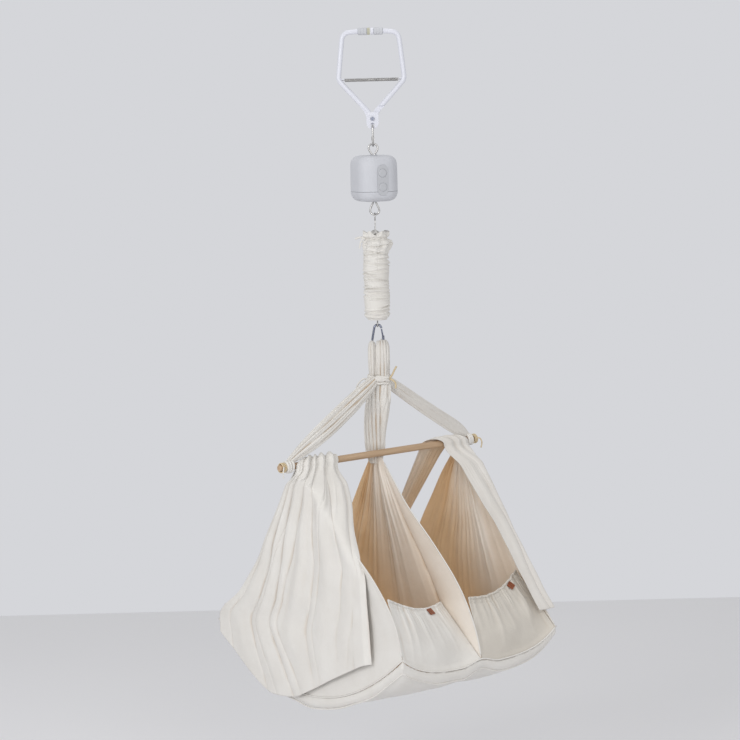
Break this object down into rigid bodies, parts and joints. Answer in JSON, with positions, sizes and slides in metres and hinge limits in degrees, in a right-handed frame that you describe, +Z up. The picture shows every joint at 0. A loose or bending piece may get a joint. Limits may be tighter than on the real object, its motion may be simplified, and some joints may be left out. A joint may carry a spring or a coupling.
{
  "type": "hanging twin baby cradle",
  "caption": "Sprung cotton cradle with two places under a beech spreader bar, hung by a sleeved spring and a battery drive from a clamp that grips a door frame.",
  "frame": {"origin": "middle of the clamp's jaws, where the door frame holds the part", "axes": "+Z up; X along the spreader bar, left to right from the front; the front (foot end) is -Y"},
  "size_m": [0.7565, 0.7951, 1.8765],
  "materials": {
    "enamel": "gloss enamel",
    "rubber": "moulded, matt",
    "jaw_brass": "khaki anodised",
    "steel": "bright zinc",
    "dark_steel": "polished dark",
    "shell": "soft satin",
    "panel": "satin",
    "inner_plastic": "moulded",
    "board": "lacquered",
    "cotton": "unbleached woven cotton",
    "cord": "twisted cotton",
    "beech": "oiled",
    "filling": "soft wadding",
    "leather": "smooth"
  },
  "bodies": {
    "clamp_left": {"clamp_arm_left": "enamel", "clamp_pad_left": "rubber", "clamp_face_left": "jaw_brass", "pivot_bolt": "dark_steel", "pivot_nut": "dark_steel", "pivot_washer": "steel", "clamp_spring": "steel"},
    "clamp_right": {"clamp_arm_right": "enamel", "clamp_pad_right": "rubber", "clamp_face_right": "enamel"},
    "upper_hook": {"upper_hook_frame": "steel", "upper_hook_gate_pin": "steel"},
    "upper_hook_gate": {"upper_hook_gate": "steel"},
    "drive": {"drive_upper_housing": "shell", "drive_lower_housing": "shell", "drive_button_panel": "panel", "drive_port_cover": "rubber", "drive_top_grommet": "rubber", "drive_bottom_grommet": "rubber", "drive_chassis": "inner_plastic", "drive_gear_motor": "steel", "drive_battery_pack": "inner_plastic", "drive_circuit_board": "board", "drive_top_eye": "steel"},
    "button_upper": {"drive_button_upper": "panel"},
    "button_lower": {"drive_button_lower": "panel"},
    "lead_screw": {"drive_lead_screw": "steel"},
    "bob": {"drive_screw_carriage": "jaw_brass", "drive_bottom_eye": "steel"},
    "spring_unit": {"spring_top_hook": "steel", "main_spring": "steel", "spring_sleeve": "cotton", "sleeve_drawstring": "cord"},
    "spring_foot": {"spring_bottom_eye": "steel"},
    "lower_hook": {"lower_hook_frame": "dark_steel", "lower_hook_gate_pin": "steel"},
    "lower_hook_gate": {"lower_hook_gate": "dark_steel"},
    "cradle": {"cloth_head": "cotton", "knot_tie": "cord", "strap_left": "cotton", "strap_centre": "cotton", "strap_right": "cotton", "spreader_bar": "beech", "bar_lashing_left": "cord", "bar_lashing_right": "cord", "wall_left": "cotton", "wall_centre": "cotton", "wall_right": "cotton", "base_cover": "cotton", "mattress": "filling", "foot_pocket_left": "cotton", "foot_pocket_right": "cotton", "head_panel_left": "cotton", "head_panel_right": "cotton", "pocket_tab_left": "leather", "pocket_tab_right": "leather", "drape_left": "cotton", "drape_right": "cotton"}
  },
  "joints": [
    {"name": "clamp_open", "type": "hinge", "parent": "clamp_left", "child": "clamp_right", "pos_m": [0, 0, -0.242], "axis": [0.6561, 0.7547, 0], "range_deg": [-0.5, 20], "stiffness_Nm_per_rad": 4, "springref_deg": -20.05, "deforming": ["clamp_spring"]},
    {"name": "upper_hook_swing", "type": "hinge", "parent": "clamp_left", "child": "upper_hook", "pos_m": [-0.00246, -0.00283, -0.26126], "axis": [0.6561, 0.7547, 0], "range_deg": [-20, 20]},
    {"name": "upper_hook_gate_open", "type": "hinge", "parent": "upper_hook", "child": "upper_hook_gate", "pos_m": [0.00649, 0.00747, -0.29456], "axis": [0.7547, -0.6561, 0], "range_deg": [0, 22], "stiffness_Nm_per_rad": 0.05, "springref_deg": -28.65},
    {"name": "drive_swing", "type": "hinge", "parent": "upper_hook", "child": "drive", "pos_m": [0, 0, -0.31201], "axis": [0.7547, -0.6561, 0], "range_deg": [-15, 15]},
    {"name": "button_upper_press", "type": "slide", "parent": "drive", "child": "button_upper", "axis": [0.2924, 0.9563, 0], "range_m": [0, 0.001], "stiffness_N_per_m": 600, "springref_m": -0.001},
    {"name": "button_lower_press", "type": "slide", "parent": "drive", "child": "button_lower", "axis": [0.2924, 0.9563, 0], "range_m": [0, 0.001], "stiffness_N_per_m": 600, "springref_m": -0.001},
    {"name": "drive_bob", "type": "slide", "parent": "drive", "child": "bob", "axis": [0, 0, -1], "range_m": [0, 0.012]},
    {"name": "lead_screw_turn", "type": "hinge", "parent": "drive", "child": "lead_screw", "pos_m": [0, 0, -0.4], "axis": [0, 0, 1], "range_deg": [-1, 541]},
    {"name": "spring_swing", "type": "hinge", "parent": "bob", "child": "spring_unit", "pos_m": [0, 0, -0.50466], "axis": [0.6561, 0.7547, 0], "range_deg": [-15, 15]},
    {"name": "spring_stretch", "type": "slide", "parent": "spring_unit", "child": "spring_foot", "axis": [0, 0, -1], "range_m": [0, 0.2], "stiffness_N_per_m": 500, "springref_m": -0.3, "deforming": ["main_spring", "spring_sleeve"]},
    {"name": "lower_hook_swing", "type": "hinge", "parent": "spring_foot", "child": "lower_hook", "pos_m": [0, 0, -0.82466], "axis": [0.6561, 0.7547, 0], "range_deg": [-15, 15]},
    {"name": "lower_hook_gate_open", "type": "hinge", "parent": "lower_hook", "child": "lower_hook_gate", "pos_m": [0.01112, -0.00966, -0.85386], "axis": [-0.6561, -0.7547, 0], "range_deg": [0, 22], "stiffness_Nm_per_rad": 0.05, "springref_deg": -28.65},
    {"name": "cradle_swing", "type": "hinge", "parent": "lower_hook", "child": "cradle", "pos_m": [0, 0, -0.88286], "axis": [0.7547, -0.6561, 0], "range_deg": [-12, 12]}
  ],
  "couplings": [
    {"joint": "lead_screw_turn", "follows": "drive_bob", "rad_per_m": 785.4}
  ]
}
